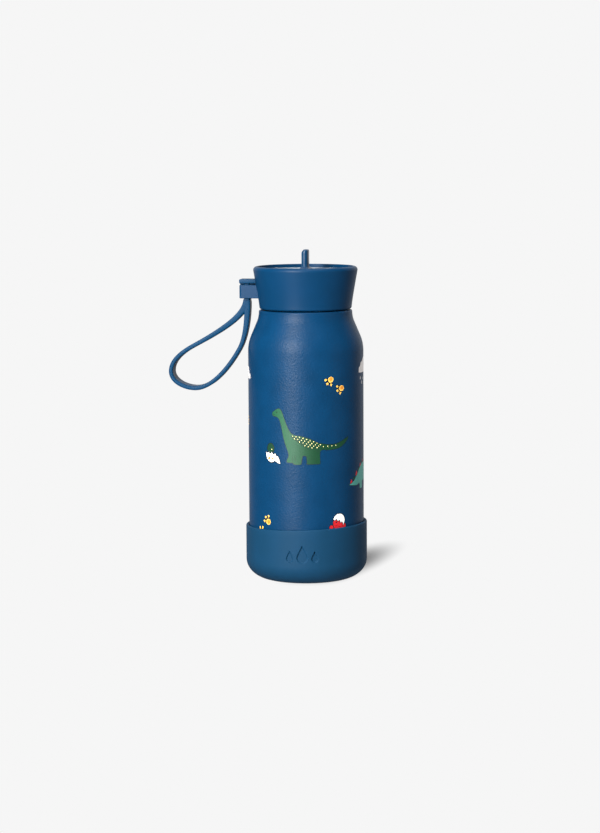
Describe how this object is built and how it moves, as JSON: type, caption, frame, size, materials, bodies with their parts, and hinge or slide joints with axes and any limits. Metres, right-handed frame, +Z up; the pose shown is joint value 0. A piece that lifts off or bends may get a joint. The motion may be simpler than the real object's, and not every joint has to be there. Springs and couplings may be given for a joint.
{
  "type": "kids insulated water bottle",
  "caption": "Small double-walled steel drinking bottle with a silicone boot, a screw-on lid with a folding straw spout, and a silicone carrying loop.",
  "frame": {"origin": "centre of the boot's flat underside, on the bottle's axis", "axes": "+Z up the bottle's axis, front faces -Y, the carrying loop hangs on the -X side and the spout folds towards +X"},
  "size_m": [0.1153, 0.0706, 0.1916],
  "materials": {
    "shell_paint": "navy powder coat with a fine texture",
    "steel": "brushed stainless steel",
    "seal_glass": "dark solder glass",
    "getter_metal": "sintered grey metal",
    "boot_silicone": "matte blue silicone",
    "lid_plastic": "satin navy polypropylene",
    "core_plastic": "natural white polypropylene",
    "seal_silicone": "milky silicone",
    "straw_plastic": "milky polypropylene",
    "mouthpiece_silicone": "soft navy silicone",
    "loop_silicone": "satin blue silicone"
  },
  "bodies": {
    "bottle": {"outer_shell": "shell_paint", "outer_base_plate": "steel", "vacuum_seal_bead": "seal_glass", "base_cap": "steel", "inner_liner": "steel", "liner_base": "steel", "getter": "getter_metal", "boot": "boot_silicone"},
    "seal": {"neck_gasket": "seal_silicone"},
    "lid": {"lid_shell": "lid_plastic", "lid_core": "core_plastic", "lid_deck": "lid_plastic", "spout_seat": "seal_silicone", "vent_valve": "seal_silicone", "straw_adapter": "seal_silicone", "straw": "straw_plastic", "spout_pins": "steel", "strap_anchor": "loop_silicone"},
    "spout": {"spout_barrel": "lid_plastic", "mouthpiece": "mouthpiece_silicone"},
    "loop": {"strap_loop": "loop_silicone"}
  },
  "joints": [
    {"name": "lid_lift", "type": "slide", "parent": "bottle", "child": "seal", "axis": [0, 0, 1], "range_m": [0, 0.008]},
    {"name": "lid_turn", "type": "hinge", "parent": "seal", "child": "lid", "pos_m": [0, 0, 0.168], "axis": [0, 0, 1], "range_deg": [0, 720]},
    {"name": "spout_fold", "type": "hinge", "parent": "lid", "child": "spout", "pos_m": [0, 0, 0.1774], "axis": [0, 1, 0], "range_deg": [0, 90]},
    {"name": "loop_flex", "type": "hinge", "parent": "lid", "child": "loop", "pos_m": [-0.03389, 0, 0.159], "axis": [0, 1, 0], "range_deg": [-4, 40], "stiffness_Nm_per_rad": 0.06, "springref_deg": 0.76}
  ],
  "couplings": [
    {"joint": "lid_lift", "follows": "lid_turn", "m_per_rad": 0.0006366}
  ]
}
